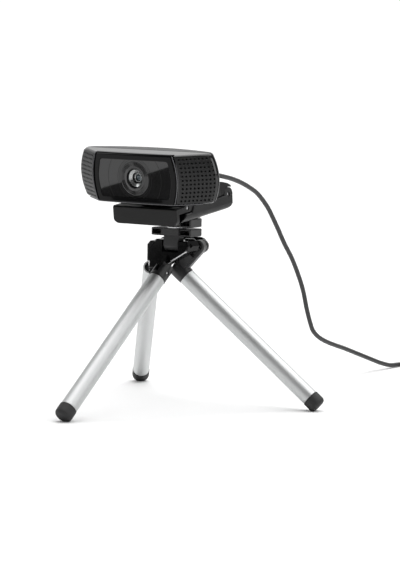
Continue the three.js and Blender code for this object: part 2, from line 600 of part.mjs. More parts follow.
function coil() {
  const { turnRadius, width, height } = COIL;
  const low = turnRadius - width / 2;
  const high = turnRadius + width / 2;
  const profile = [
    [low, 0.8], [low + 0.8, 0.02], [high - 0.8, 0.02], [high, 0.8],
    [high, height - 0.8], [high - 0.8, height], [low + 0.8, height], [low, height - 0.8], [low, 0.8],
  ];
  return turnedOnY(profile, 32).rotate([90, 0, 0]).translate([COIL.x, COIL.y, 0]);
}

// A strap over the coil, on its right side.
function coilTie() {
  const low = COIL.x + COIL.turnRadius - COIL.width / 2 - 1.8;
  const high = COIL.x + COIL.turnRadius + COIL.width / 2 + 1.3;
  const outer = box([low, high], [COIL.y - 3, COIL.y + 3], [0.02, COIL.height + 1.3]);
  const inner = box([low + 0.9, high - 0.9], [COIL.y - 9, COIL.y + 9], [-5, COIL.height + 0.4]);
  return cut(outer, inner);
}

function leadGroup() {
  const group = new THREE.Group();
  group.add(mesh("cable_over_clip", cordAlong(OVER_CLIP), lead));
  group.add(mesh("usb_cable", cordAlong(ROUTE), lead));
  group.add(mesh("cable_coil", coil(), lead));
  group.add(mesh("cable_tie", coilTie(), rubber));
  group.add(mesh("cable_tail", cordAlong(TAIL), lead));

  const plug = new THREE.Group();
  plug.position.set(PLUG.x, PLUG.y, PLUG.z);
  plug.rotation.z = PLUG.turn;
  const relief = turnedOnY([[0, 0.1], [2.0, 0.1], [3.0, 9.4], [0, 9.4]], 20).rotate([0, 0, -90]);
  plug.add(mesh("plug_relief", relief, rubber));
  const grip = extrude(roundRect(-8, 8, -4.2, 4.2, 2), Y, Z, 9.7, 34, 0.8);
  plug.add(mesh("plug_grip", grip, blackPlastic));
  const shellTube = cut(box([34.3, 46.3], [-6, 6], [-2.25, 2.25]), box([36, 60], [-5.7, 5.7], [-1.95, 1.95]));
  plug.add(mesh("plug_shell", shellTube, steel));
  plug.add(mesh("plug_insulator", box([36.3, 45.6], [-5.4, 5.4], [0, 1.6]), whitePlastic));
  group.add(plug);
  return group;
}

// ---------------------------------------------------------------- the whole object
const design = new THREE.Group();
design.add(hubGroup(), headGroup(), clipGroup(), cameraGroup(), leadGroup());
for (const name of Object.keys(LEGS)) design.add(legGroup(name));
design.position.set(-ORIGIN.x, -ORIGIN.y, 0);

const group = new THREE.Group();
group.add(design);
export default group;
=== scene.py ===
"""Looks of a webcam on a folding table tripod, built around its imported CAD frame. Metres, +Z up.

The camera looks along -Y. Its own pieces and tools are designed in millimetres: those of the camera and the
clip in their leaning frames, those of the hub in the row frame or in the plane of a leg.
"""

import json
import math

import bmesh
import bpy
import numpy as np
from mathutils import Matrix, Vector

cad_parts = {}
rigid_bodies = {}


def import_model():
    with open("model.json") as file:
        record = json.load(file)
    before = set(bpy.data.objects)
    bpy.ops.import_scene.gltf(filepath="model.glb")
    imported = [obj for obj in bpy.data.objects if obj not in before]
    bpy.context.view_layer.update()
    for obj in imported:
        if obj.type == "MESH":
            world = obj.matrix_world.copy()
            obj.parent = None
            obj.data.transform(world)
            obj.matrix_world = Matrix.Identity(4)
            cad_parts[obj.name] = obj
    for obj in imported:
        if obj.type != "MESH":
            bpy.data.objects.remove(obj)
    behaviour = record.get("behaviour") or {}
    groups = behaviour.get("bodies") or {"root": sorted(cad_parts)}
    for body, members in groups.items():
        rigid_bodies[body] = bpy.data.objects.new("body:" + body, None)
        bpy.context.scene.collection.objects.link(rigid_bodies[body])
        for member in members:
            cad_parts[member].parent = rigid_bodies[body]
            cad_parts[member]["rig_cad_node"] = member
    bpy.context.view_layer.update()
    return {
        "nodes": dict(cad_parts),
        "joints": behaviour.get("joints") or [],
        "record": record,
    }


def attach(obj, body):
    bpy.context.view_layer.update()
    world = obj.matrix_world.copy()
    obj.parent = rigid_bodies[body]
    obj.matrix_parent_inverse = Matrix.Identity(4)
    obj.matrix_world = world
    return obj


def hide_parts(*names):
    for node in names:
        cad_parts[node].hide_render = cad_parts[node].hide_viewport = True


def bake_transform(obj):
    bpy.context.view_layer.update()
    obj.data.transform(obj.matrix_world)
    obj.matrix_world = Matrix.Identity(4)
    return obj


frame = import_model()
NODES = frame["nodes"]
JOINTS = {joint["name"]: joint for joint in frame["joints"]}
MM = 0.001
IMAGE = (400, 570)

# ------------------------------------------------------------------ places, from the frame's joints
DESIGN = Vector((-11.4, 13.04, 0)) * MM  # the tripod's axis on the table
PITCH = math.radians(7.4)  # camera and clip lean forward
LEG_AZIMUTH = {"front": -93.57, "right": 16.14, "rear": 130.23}  # degrees
CAMERA_TILT = Vector(JOINTS["camera_tilt"]["pos_m"])
HEAD_X = 8.6  # the head's and the camera's middle, beside the tripod's axis
CAMERA_FRONT = DESIGN + Vector((HEAD_X, -41.4, 136.4)) * MM  # centre of the camera's front plate


def placed(origin, turn):
    """The matrix of a millimetre frame at an origin in metres."""
    return Matrix.Translation(origin) @ turn.to_4x4() @ Matrix.Scale(MM, 4)


CAMERA_FRAME = placed(CAMERA_FRONT, Matrix.Rotation(PITCH, 3, "X"))
CLIP_FRAME = placed(CAMERA_TILT, Matrix.Rotation(PITCH, 3, "X"))
DESIGN_FRAME = placed(DESIGN, Matrix.Identity(3))


def design(x, y, z):
    """A point given in millimetres from the tripod's axis on the table."""
    return DESIGN + Vector((x, y, z)) * MM


# ------------------------------------------------------------------ the view
VIEW = {"azimuth": 35.08, "elevation": 6.05, "roll": 0.73, "distance": 1.5951, "focal_px": 2703.7}
AIM = (27.145, 0, 72.645)


def new_object(name, data):
    """An object put into the scene."""
    made = bpy.data.objects.new(name, data)
    bpy.context.scene.collection.objects.link(made)
    return made


def add_camera():
    """A long lens, 35 degrees to one side of the webcam's front and a little above."""
    azimuth, elevation, roll = (math.radians(VIEW[key]) for key in ("azimuth", "elevation", "roll"))
    back = Vector((
        math.sin(azimuth) * math.cos(elevation),
        -math.cos(azimuth) * math.cos(elevation),
        math.sin(elevation),
    ))
    level = Vector((math.cos(azimuth), math.sin(azimuth), 0))
    upright = back.cross(level)
    right = level * math.cos(roll) + upright * math.sin(roll)
    up = upright * math.cos(roll) - level * math.sin(roll)
    data = bpy.data.cameras.new("photo_camera")
    data.sensor_width = 36
    data.lens = VIEW["focal_px"] * data.sensor_width / max(IMAGE)
    data.clip_end = 20
    camera = new_object("photo_camera", data)
    place = design(*AIM) + back * VIEW["distance"]
    camera.matrix_world = Matrix.Translation(place) @ Matrix((right, up, back)).transposed().to_4x4()
    bpy.context.scene.camera = camera
    return camera


camera = add_camera()


# ------------------------------------------------------------------ mesh tools
SHARP = math.radians(32)  # faces that meet at more than this show an edge


def add_object(name, verts, faces, place=None, sharp=SHARP):
    """A mesh object in the row frame, smooth except where faces meet at more than the sharp angle."""
    mesh = bpy.data.meshes.new(name)
    mesh.from_pydata([tuple(v) for v in verts], [], [tuple(f) for f in faces])
    if place is not None:
        mesh.transform(place)
    piece = new_object(name, mesh)
    finish_mesh(piece, sharp)
    return piece


def finish_mesh(piece, sharp=SHARP):
    """Merges doubles, turns all faces out and sets the smooth shading."""
    work = bmesh.new()
    work.from_mesh(piece.data)
    bmesh.ops.remove_doubles(work, verts=work.verts, dist=1e-7)
    bmesh.ops.recalc_face_normals(work, faces=work.faces)
    for edge in work.edges:
        edge.smooth = len(edge.link_faces) == 2 and edge.calc_face_angle(0) < sharp
    for face in work.faces:
        face.smooth = True
    work.to_mesh(piece.data)
    work.free()


def apply_modifiers(piece):
    """Turns the piece's modifiers into plain mesh."""
    graph = bpy.context.evaluated_depsgraph_get()
    made = bpy.data.meshes.new_from_object(piece.evaluated_get(graph))
    piece.modifiers.clear()
    old = piece.data
    piece.data = made
    bpy.data.meshes.remove(old)
    finish_mesh(piece)


def bevel(piece, width, segments=3, angle=35):
    """Rounds the edges that are sharper than the angle, width in metres."""
    modifier = piece.modifiers.new("bevel", "BEVEL")
    modifier.width = width
    modifier.segments = segments
    modifier.limit_method = "ANGLE"
    modifier.angle_limit = math.radians(angle)
    bpy.context.view_layer.update()
    apply_modifiers(piece)
    return piece


def boolean(piece, tool, operation="DIFFERENCE"):
    """Cuts the piece with a tool, or joins it to one, and takes the tool away."""
    modifier = piece.modifiers.new("cut", "BOOLEAN")
    modifier.operation = operation
    modifier.solver = "EXACT"
    modifier.object = tool
    bpy.context.view_layer.update()
    apply_modifiers(piece)
    bpy.data.objects.remove(tool)


def object_from(work, name):
    """An object with the mesh that was worked on."""
    mesh = bpy.data.meshes.new(name)
    work.to_mesh(mesh)
    work.free()
    return new_object(name, mesh)


def join_objects(name, pieces):
    """One object made of several."""
    work = bmesh.new()
    for piece in pieces:
        work.from_mesh(piece.data)
        bpy.data.objects.remove(piece)
    joined = object_from(work, name)
    finish_mesh(joined)
    return joined


def arc(centre, radius, start, end, steps=8):
    """Points of an arc, angles in degrees."""
    points = []
    for step in range(steps + 1):
        angle = math.radians(start + (end - start) * step / steps)
        points.append((centre[0] + radius * math.cos(angle), centre[1] + radius * math.sin(angle)))
    return points


def round_rect(left, right, low, high, radius, steps=6):
    """Outline of a rectangle with round corners."""
    return (
        arc((right - radius, low + radius), radius, -90, 0, steps)
        + arc((right - radius, high - radius), radius, 0, 90, steps)
        + arc((left + radius, high - radius), radius, 90, 180, steps)
        + arc((left + radius, low + radius), radius, 180, 270, steps)
    )


def pill(a, b, radius, steps=12):
    """Outline of a strip with round ends around the line from a to b."""
    turn = math.degrees(math.atan2(b[1] - a[1], b[0] - a[0]))
    return arc(b, radius, turn - 90, turn + 90, steps) + arc(a, radius, turn + 90, turn + 270, steps)


AXES = {"x": (1, 2, 0), "y": (0, 2, 1), "z": (0, 1, 2)}


def prism(name, outline, axis, low, high, place, round_edge=0, segments=3):
    """An outline made solid along an axis of its frame. Outlines are (y, z), (x, z) or (x, y)."""
    first, second, along = AXES[axis]
    verts = []
    for level in (low, high):
        for a, b in outline:
            point = [0, 0, 0]
            point[first], point[second], point[along] = a, b, level
            verts.append(point)
    count = len(outline)
    faces = [list(range(count))[::-1], list(range(count, 2 * count))]
    faces += [[i, (i + 1) % count, (i + 1) % count + count, i + count] for i in range(count)]
    piece = add_object(name, verts, faces, place)
    if round_edge:
        bevel(piece, round_edge * MM, segments)
    return piece


def loft_faces(levels, count):
    """Faces of a solid through rings of as many points each, closed at both ends."""
    faces = []
    for level in range(levels - 1):
        for i in range(count):
            a, b = level * count + i, level * count + (i + 1) % count
            faces.append([a, b, b + count, a + count])
    return faces + [list(range(count))[::-1], [(levels - 1) * count + i for i in range(count)]]


def loft(name, rings, place, sharp=SHARP):
    faces = loft_faces(len(rings), len(rings[0]))
    return add_object(name, [point for ring in rings for point in ring], faces, place, sharp)


def turned(name, profile, place, segments, axis):
    """A profile of (radius, height) turned about an axis of its frame."""
    verts, faces = [], []
    rows = []
    for radius, height in profile:
        if radius < 1e-9:
            rows.append([len(verts)] * segments)
            verts.append((0, 0, height))
            continue
        rows.append(list(range(len(verts), len(verts) + segments)))
        for step in range(segments):
            angle = 2 * math.pi * step / segments
            verts.append((radius * math.cos(angle), radius * math.sin(angle), height))
    for lower, upper in zip(rows, rows[1:]):
        for step in range(segments):
            after = (step + 1) % segments
            face = [lower[step], lower[after], upper[after], upper[step]]
            unique = list(dict.fromkeys(face))
            if len(unique) > 2:
                faces.append(unique)
    quarter = math.pi / 2
    turn = Matrix.Rotation(-quarter, 4, "X") if axis == "y" else Matrix.Rotation(quarter, 4, "Y")
    return add_object(name, verts, faces, place @ turn)


CURVE_STEPS = 24  # between two points of a curve, before it is resampled


def catmull(points, spacing):
    """A smooth curve through the points, with even steps of about the spacing."""
    points = [Vector(p) for p in points]
    padded = [2 * points[0] - points[1]] + points + [2 * points[-1] - points[-2]]
    dense = []
    for a, b, c, d in zip(padded, padded[1:], padded[2:], padded[3:]):
        knots = [0]
        for p, q in ((a, b), (b, c), (c, d)):
            knots.append(knots[-1] + max((q - p).length, 1e-9) ** 0.5)
        for step in range(CURVE_STEPS):
            t = knots[1] + (knots[2] - knots[1]) * step / CURVE_STEPS
            first = [
                blend_points(p, q, (t - u) / (v - u))
                for p, q, u, v in zip((a, b, c), (b, c, d), knots, knots[1:])
            ]
            second = [
                blend_points(first[0], first[1], (t - knots[0]) / (knots[2] - knots[0])),
                blend_points(first[1], first[2], (t - knots[1]) / (knots[3] - knots[1])),
            ]
            dense.append(blend_points(second[0], second[1], (t - knots[1]) / (knots[2] - knots[1])))
    dense.append(points[-1])
    return resample(dense, spacing)


def blend_points(p, q, share):
    return p + (q - p) * share


def resample(points, spacing):
    """The same line with even steps of about the spacing."""
    lengths = [0]
    for p, q in zip(points, points[1:]):
        lengths.append(lengths[-1] + (q - p).length)
    count = max(2, round(lengths[-1] / spacing))
    even = []
    index = 0
    for step in range(count + 1):
        want = lengths[-1] * step / count
        while index < len(points) - 2 and lengths[index + 1] < want:
            index += 1
        span = lengths[index + 1] - lengths[index]
        even.append(points[index].lerp(points[index + 1], (want - lengths[index]) / max(span, 1e-12)))
    return even


def tube(name, path, radius, sides):
    """A round tube along a path, carried along without twist; radius is one value, or one for each point."""
    radii = radius if isinstance(radius, list) else [radius] * len(path)
    verts = []
    normal = None
    for index, point in enumerate(path):
        before, after = path[max(index - 1, 0)], path[min(index + 1, len(path) - 1)]
        along = (after - before).normalized()
        if normal is None:
            normal = along.orthogonal().normalized()
        normal = (normal - along * normal.dot(along)).normalized()
        other = along.cross(normal)
        for side in range(sides):
            angle = 2 * math.pi * side / sides
            verts.append(point + (normal * math.cos(angle) + other * math.sin(angle)) * radii[index])
    return add_object(name, verts, loft_faces(len(path), sides))


# ------------------------------------------------------------------ materials
def shader_of(material):
    return material.node_tree.nodes["Principled BSDF"]


def new_material(name, color, roughness, metallic=0.0, specular=0.5, coat=0.0, coat_roughness=0.05):
    """A principled material with its nodes, which the finishes below build on."""
    material = bpy.data.materials.new(name)
    material.use_nodes = True
    shader = shader_of(material)
    shader.inputs["Base Color"].default_value = (*color, 1)
    shader.inputs["Roughness"].default_value = roughness
    shader.inputs["Metallic"].default_value = metallic
    shader.inputs["Specular IOR Level"].default_value = specular
    shader.inputs["Coat Weight"].default_value = coat
    shader.inputs["Coat Roughness"].default_value = coat_roughness
    return material


def node(material, kind, **settings):
    made = material.node_tree.nodes.new(kind)
    for key, value in settings.items():
        if key in made.inputs:
            made.inputs[key].default_value = value
        else:
            setattr(made, key, value)
    return made


def link(material, source, target):
    material.node_tree.links.new(source, target)


def object_coordinates(material, stretch=(1, 1, 1)):
    """Coordinates in the row frame, in metres, stretched on each axis."""
    coordinates = node(material, "ShaderNodeTexCoord")
    mapping = node(material, "ShaderNodeMapping", Scale=stretch)
    link(material, coordinates.outputs["Object"], mapping.inputs["Vector"])
    return mapping.outputs["Vector"]


def noise(material, vector, scale, detail=3.0, roughness=0.55):
    made = node(material, "ShaderNodeTexNoise", Scale=scale, Detail=detail, Roughness=roughness)
    link(material, vector, made.inputs["Vector"])
    return made.outputs["Fac"]


def set_range(ranged, *numbers):
    for socket, number in zip(("From Min", "From Max", "To Min", "To Max"), numbers):
        ranged.inputs[socket].default_value = number


NOISE_RANGE = (0.3, 0.7)  # where most of a noise's values are


def spread(material, value, low, high):
    """A noise value brought into a range."""
    ranged = node(material, "ShaderNodeMapRange")
    set_range(ranged, *NOISE_RANGE, low, high)
    link(material, value, ranged.inputs["Value"])
    return ranged.outputs["Result"]


def set_roughness(material, value):
    link(material, value, shader_of(material).inputs["Roughness"])


def set_bump(material, height, strength, distance):
    bump = node(material, "ShaderNodeBump", Strength=strength, Distance=distance)
    link(material, height, bump.inputs["Height"])
    link(material, bump.outputs["Normal"], shader_of(material).inputs["Normal"])


def vary_color(material, value, dark, light):
    """Runs the base colour between two colours by a value from 0 to 1."""
    ramp = node(material, "ShaderNodeValToRGB")
    ramp.color_ramp.elements[0].color = (*dark, 1)
    ramp.color_ramp.elements[1].color = (*light, 1)
    link(material, value, ramp.inputs["Fac"])
    link(material, ramp.outputs["Color"], shader_of(material).inputs["Base Color"])


def moulded(name, tone, roughness, grain_scale, grain, mottling=0.15, specular=0.5):
    """Moulded plastic: an even grain in its surface, faint cloudy changes in tone and gloss."""
    material = new_material(name, (tone, tone, tone * 1.04), roughness, specular=specular)
    where = object_coordinates(material)
    clouds = noise(material, where, 60, 4)
    fine = noise(material, where, grain_scale, 2, 0.6)
    low, high = tone * (1 - mottling), tone * (1 + mottling)
    vary_color(material, spread(material, clouds, 0, 1), (low, low, low * 1.04), (high, high, high * 1.04))
    set_roughness(material, spread(material, clouds, roughness - 0.05, roughness + 0.06))
    set_bump(material, fine, grain, 0.0001)
    return material


def polished(name, tone, roughness=0.08, wave=0.012, coat=0.3, specular=0.4):
    """Polished black plastic: nearly flat, with faint moulding waves and light wiping marks."""
    material = new_material(
        name, (tone, tone, tone * 1.08), roughness, specular=specular, coat=coat, coat_roughness=0.03,
    )
    where = object_coordinates(material)
    marks = noise(material, object_coordinates(material, (1, 1, 6)), 240, 3)
    set_roughness(material, spread(material, marks, roughness * 0.7, roughness * 1.6))
    set_bump(material, noise(material, where, 22, 1), wave, 0.0006)
    return material


def machined(name, color, roughness, scale=900):
    """Bare metal with a fine even grain."""
    material = new_material(name, color, roughness, metallic=1.0)
    grain = noise(material, object_coordinates(material), scale, 2, 0.7)
    tint = noise(material, object_coordinates(material), 45, 3)
    vary_color(material, spread(material, tint, 0, 1), tuple(0.93 * c for c in color), color)
    set_roughness(material, spread(material, grain, roughness * 0.85, roughness * 1.2))
    set_bump(material, grain, 0.12, 0.00004)
    return material


def anodised_tube(name, color, roughness):
    """Satin anodised aluminium: bead-blasted grain and a slightly uneven sheen."""
    material = new_material(name, color, roughness, metallic=1.0)
    where = object_coordinates(material)
    grain = noise(material, where, 3800, 2, 0.7)
    clouds = noise(material, where, 35, 3)
    vary_color(material, spread(material, clouds, 0, 1), tuple(0.95 * c for c in color), color)
    set_roughness(material, spread(material, clouds, roughness - 0.03, roughness + 0.04))
    set_bump(material, grain, 0.1, 0.00003)
    return material


def cloth_tape(name, tone):
    """Woven hook tape: a fine basket weave."""
    material = new_material(name, (tone, tone, tone), 0.9)
    where = object_coordinates(material)
    weave = node(material, "ShaderNodeTexChecker", Scale=2600)
    link(material, where, weave.inputs["Vector"])
    fuzz = noise(material, where, 1800, 3)
    vary_color(material, spread(material, fuzz, 0, 1), (tone * 0.7,) * 3, (tone * 1.4,) * 3)
    set_bump(material, weave.outputs["Fac"], 0.5, 0.00015)
    return material


def circuit(name):
    """Green solder mask with fine tracks under it."""
    material = new_material(name, (0.02, 0.16, 0.07), 0.35)
    where = object_coordinates(material, (1, 0.05, 1))
    tracks = node(material, "ShaderNodeTexBrick", Scale=420)
    link(material, where, tracks.inputs["Vector"])
    vary_color(material, tracks.outputs["Fac"], (0.02, 0.15, 0.06), (0.05, 0.26, 0.12))
    set_bump(material, tracks.outputs["Fac"], 0.3, 0.00005)
    return material


def optical(name, color):
    """Coated lens glass: dark, clear and very smooth, with a faint cool sheen."""
    material = new_material(name, color, 0.02, coat=1.0, coat_roughness=0.0)
    where = object_coordinates(material)
    sheen = spread(material, noise(material, where, 260, 1), 0, 1)
    vary_color(material, sheen, color, tuple(1.8 * c for c in color))
    shader_of(material).inputs["Coat Tint"].default_value = (0.75, 0.9, 1.0, 1)
    return material


LOOKS = {
    "gloss_black": polished("gloss_black", 0.006, 0.09),
    "frame_black": polished("frame_black", 0.003, 0.07, coat=0, specular=0.14),
    "window_black": polished("window_black", 0.004, 0.035, wave=0.003, coat=0.45),
    "black_plastic": moulded("black_plastic", 0.014, 0.36, 2600, 0.25),
    "soft_black": moulded("soft_black", 0.006, 0.42, 3200, 0.35, specular=0.25),
    "grille_black": moulded("grille_black", 0.009, 0.42, 2800, 0.2, specular=0.36),
    "rubber": moulded("rubber", 0.014, 0.62, 1900, 0.35),
    "hub_black": polished("hub_black", 0.003, 0.12, coat=0, specular=0.13),
    "leg_aluminium": anodised_tube("leg_aluminium", (0.6, 0.61, 0.61), 0.5),
    # A lighter grey that paints the highlight along the frame's edges.
    "painted_highlight_grey": polished("painted_highlight_grey", 0.09, 0.3),
    "steel": machined("steel", (0.56, 0.56, 0.57), 0.25),
    "lens_silver": machined("lens_silver", (0.36, 0.37, 0.37), 0.26, scale=1500),
    "sensor_black": optical("sensor_black", (0.02, 0.02, 0.035)),
    "brass": machined("brass", (0.68, 0.5, 0.22), 0.3),
    "lens_glass": optical("lens_glass", (0.006, 0.012, 0.014)),
    "board_green": circuit("board_green"),
    "lamp_white": moulded("lamp_white", 0.75, 0.25, 800, 0.05, 0.03),
    "plug_white": moulded("plug_white", 0.8, 0.4, 1500, 0.1, 0.03),
    "cable_black": moulded("cable_black", 0.02, 0.42, 2400, 0.15),
    "tape": cloth_tape("tape", 0.02),
}


def dress(piece, look, body=None, replaces=()):
    """Gives a piece its material, the body it rides on and the nodes that it stands for."""
    piece.data.materials.clear()
    piece.data.materials.append(LOOKS[look])
    if "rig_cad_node" not in piece:
        even = piece.modifiers.new("normals", "WEIGHTED_NORMAL")
        even.weight = 100
        even.keep_sharp = True
    if body:
        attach(piece, body)
    if replaces:
        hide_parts(*replaces)
    return piece


# ------------------------------------------------------------------ the cord
CORD_RADIUS = 1.4 * MM
LEAD_IN = 0.0265  # of the cord next to the relief is a piece of its own
CORD_STEP = 1.1 * MM
FREE_RUN = [
    (26.6, -7.9, 137.2), (26.6, -2, 137.95), (26.6, 5, 138.2), (26.6, 12, 137.6), (26.5, 22, 135.9),
    (26.2, 33, 133.8), (26, 43, 131.1), (26, 52, 127.8), (26, 60, 124.1), (26, 67, 119.2), (26, 73, 113.9),
    (26, 78.5, 107.6), (26, 84.5, 100.2), (26, 91, 91.8), (26, 101, 80.4), (26, 109.3, 68.2), (26, 114, 59.6),
    (26, 118, 49), (26, 122, 40.2), (26, 125.6, 34.2), (26, 130.6, 30.2), (26, 138, 26.6), (26, 149, 22.9),
    (26, 163.3, 18.8), (26, 178, 14.2), (26, 195, 8.9), (26, 209, 4.6), (26, 221, 1.9), (26.4, 230, 1.45),
    (29.2, 241, 1.42), (35.6, 249.4, 1.42), (43.6, 253.6, 1.42), (50.4, 254.25, 1.42), (56.5, 254.3, 1.42),
]
COIL = {"centre": (62, 234.5), "outer": 19.8, "inner": 11.2, "pitch": 2.87, "rise": 2.83, "low": 1.42}
TAIL = [
    (68, 254.3, 4.3), (74, 254.5, 3.1), (80, 254.1, 1.9), (86.5, 252.3, 2.5), (92.4, 249, 3.6),
    (97, 245.6, 4.2),
]
PLUG = {"at": (97.2, 245.45, 4.25), "turn": -36.5}
RELIEF_AT = (18, -3.5)  # in the camera's frame, sideways and up


def coil_points():
    """Layers wound in and out in flat spirals, then an outer column that comes down over them."""
    outer, inner, pitch, rise = (COIL[key] for key in ("outer", "inner", "pitch", "rise"))
    middle_x, middle_y = COIL["centre"]
    next_outer = outer - pitch
    lift = 0.27  # share of a turn in which a layer climbs to the next
    over = 0.5  # share of a turn in which the last layer goes over the coil's shoulder
    radii = [outer, inner, inner, next_outer, next_outer, inner, inner, next_outer]
    plan = []  # turns, radius and height at both ends
    height = COIL["low"]
    for index in range(0, len(radii), 2):
        start, end = radii[index], radii[index + 1]
        plan.append((abs(start - end) / pitch, (start, height), (end, height)))
        if index + 2 < len(radii):
            plan.append((lift, (end, height), (end, height + rise)))
            height += rise
    points = []
    turned_so_far = 0.0

    def add(turns, place):
        nonlocal turned_so_far
        steps = max(4, round(turns * 24))
        for step in range(steps):
            share = step / steps
            radius, level = place(share)
            angle = 2 * math.pi * (turned_so_far + turns * share)
            points.append((middle_x + radius * math.sin(angle), middle_y + radius * math.cos(angle), level))
        turned_so_far += turns

    for turns, start, end in plan:
        def place(share, start=start, end=end):
            eased = share * share * (3 - 2 * share) if start[0] == end[0] else share
            return start[0] + (end[0] - start[0]) * share, start[1] + (end[1] - start[1]) * eased
        add(turns, place)
    top = height

    def shoulder(share):
        quarter = math.pi / 2 * share
        return next_outer + pitch * math.sin(quarter), top - rise + rise * math.cos(quarter)

    add(over, shoulder)
    level_turn = math.ceil(turned_so_far) - turned_so_far
    column = level_turn + 1

    def come_down(share):
        fall = min(1, max(0, (share * column - level_turn) / (1 - level_turn)))
        return outer, top - rise - rise * fall * fall * (3 - 2 * fall)

    add(column, come_down)
    return points


def cord_line():
    """The cord's middle line from its relief to its plug."""
    points = [design(*p) for p in FREE_RUN + coil_points() + TAIL]
    return catmull(points, CORD_STEP)


def add_cord():
    line = cord_line()
    split = next(i for i, p in enumerate(line) if (p - line[0]).length > LEAD_IN)
    lead_in = tube("cord_lead_in", line[: split + 1], CORD_RADIUS, 14)
    main = tube("cord", line[split:], CORD_RADIUS, 12)
    return line, split, lead_in, main


cord_path, cord_split, cord_lead_in, cord_main = add_cord()


# ------------------------------------------------------------------ pieces in the shape of CAD nodes
BODY_OF = {
    member: body for body, members in frame["record"]["behaviour"]["bodies"].items() for member in members
}
FLAT = math.radians(2)  # faces that meet at less than this become one


def softened(cad_node, name, look, width, segments=3, trims=()):
    """A piece in the shape of a CAD node, trimmed by tools and its edges rounded, that replaces the node."""
    work = bmesh.new()
    work.from_mesh(NODES[cad_node].data)
    bmesh.ops.remove_doubles(work, verts=work.verts, dist=2e-6)
    bmesh.ops.dissolve_limit(work, angle_limit=FLAT, verts=work.verts, edges=work.edges)
    piece = object_from(work, name)
    for operation, tool in trims:
        boolean(piece, tool, operation)
    bevel(piece, width * MM, segments, 28)
    dress(piece, look, BODY_OF[cad_node], replaces=[cad_node])


# ------------------------------------------------------------------ cord pieces
def relief():
    """A tapered boot with flexing grooves, flanged against the housing."""
    profile = [(0, 19.6), (3.0, 19.6), (3.0, 24.9), (3.9, 25.1), (4.1, 25.4), (4.1, 25.9), (3.8, 26.3)]
    profile.append((3.05, 26.5))
    for groove in range(4):
        start = 26.9 + groove * 1.45
        wide = 3.0 - 0.19 * groove
        steps = ((0, 0), (0.62, 0.18), (0.64, 0.62), (0.08, 0.8))
        profile += [(wide - inward, start + further) for inward, further in steps]
    profile += [(2.15, 32.7), (1.95, 33.1), (1.6, 33.25), (0, 33.25)]
    place = CAMERA_FRAME @ Matrix.Translation((RELIEF_AT[0], 0, RELIEF_AT[1]))
    return bevel(turned("cord_relief", profile, place, 40, "y"), 0.12 * MM, 2, 30)


def plug():
    """A USB plug: boot, grip with finger grooves, steel shell with two windows, tongue with contacts."""
    place = placed(design(*PLUG["at"]), Matrix.Rotation(math.radians(PLUG["turn"]), 3, "Z"))
    boot = [(0, -0.2), (1.7, -0.2), (1.9, 0.2)]
    for groove in range(4):
        start = 1.0 + groove * 1.9
        wide = 2.1 + 0.25 * groove
        boot += [(wide, start), (wide, start + 1.0), (wide - 0.5, start + 1.25), (wide - 0.5, start + 1.7)]
    boot += [(3.1, 8.8), (3.1, 9.5), (0, 9.5)]
    boot_piece = bevel(turned("plug_boot", boot, place, 32, "x"), 0.12 * MM, 2, 30)
    grip = prism("plug_body", round_rect(9.7, 34, -8, 8, 2.2), "z", -4.2, 4.2, place, 1.1, 4)
    for side in (-1, 1):
        for step in range(4):
            x = 15.5 + step * 3.2
            low, high = sorted((side * 3.85, side * 5))
            boolean(grip, prism("groove", round_rect(x, x + 1.2, -4.6, 4.6, 0.4, 3), "z", low, high, place))
    shell = prism("plug_metal", round_rect(-6, 6, -2.25, 2.25, 0.5, 4), "x", 34.2, 46.3, place)
    boolean(shell, prism("hollow", round_rect(-5.65, 5.65, -1.9, 1.9, 0.3, 4), "x", 34.6, 48, place))
    for y in (-3.3, 1.1):
        boolean(shell, prism("window", round_rect(38.2, 40.4, y, y + 2.2, 0.15, 2), "z", 1, 4, place))
    bevel(shell, 0.12 * MM, 2, 40)
    tongue = prism("plug_tongue", round_rect(-5.5, 5.5, -1.75, 0.05, 0.15, 2), "x", 34.7, 45.4, place, 0.1, 2)
    strips = [
        prism("plug_contact", round_rect(37.5, 45, y - 0.5, y + 0.5, 0.2, 3), "z", 0.1, 0.28, place, 0.06, 2)
        for y in (-3.5, -1.1, 1.1, 3.5)
    ]
    dress(boot_piece, "rubber", "hub", ["plug_relief"])
    dress(grip, "cable_black", "hub", ["plug_grip"])
    dress(shell, "steel", "hub", ["plug_shell"])
    dress(tongue, "plug_white", "hub", ["plug_insulator"])
    contacts = join_objects("plug_contacts", strips)
    dress(contacts, "brass", "hub")
    return [boot_piece, grip, shell, tongue, contacts]


def declare_cord():
    """Dresses the relief, the lead-in and the cord in place of their CAD nodes, makes the plug and dresses
    the cable tie.
    """
    boot = dress(relief(), "rubber", replaces=["cable_relief"])
    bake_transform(boot)
    dress(cord_lead_in, "cable_black", replaces=["cable_over_clip"])
    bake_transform(cord_lead_in)
    dress(cord_main, "cable_black", replaces=["usb_cable", "cable_coil", "cable_tail"])
    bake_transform(cord_main)
    ends = plug()
    tie = dress(NODES["cable_tie"], "tape")


declare_cord()


# ------------------------------------------------------------------ the camera's housing
HALF_HEIGHT = 14.5
HALF_WIDTH = 49
SPLIT = 15.0  # where the front housing meets the rear one
MIDDLE = 30  # where the front turns back into the wings
CROWN = 0.9  # how far the front has curved back there
FRAME_EDGE, FRAME_BULGE = 27.3, 2.8  # half the frame's width at its top, and what it gains at mid height
WING_START, WING_TIP, WING_BACK = (44.5, 9.9), (49, 15.2), (44.5, 19.6)


def share_of_height(z):
    return min(1, abs(z) / HALF_HEIGHT) ** 2


def half_width(z):
    return HALF_WIDTH - 4 * share_of_height(z)


def bezel_edge(z):
    return FRAME_EDGE + FRAME_BULGE * (1 - share_of_height(z))


def quadratic(a, b, c, steps):
    """A curve from a to c that heads for b, without its first point."""
    points = []
    for step in range(1, steps + 1):
        t = step / steps
        points.append(tuple((1 - t) ** 2 * p + 2 * t * (1 - t) * q + t * t * r for p, q, r in zip(a, b, c)))
    return points


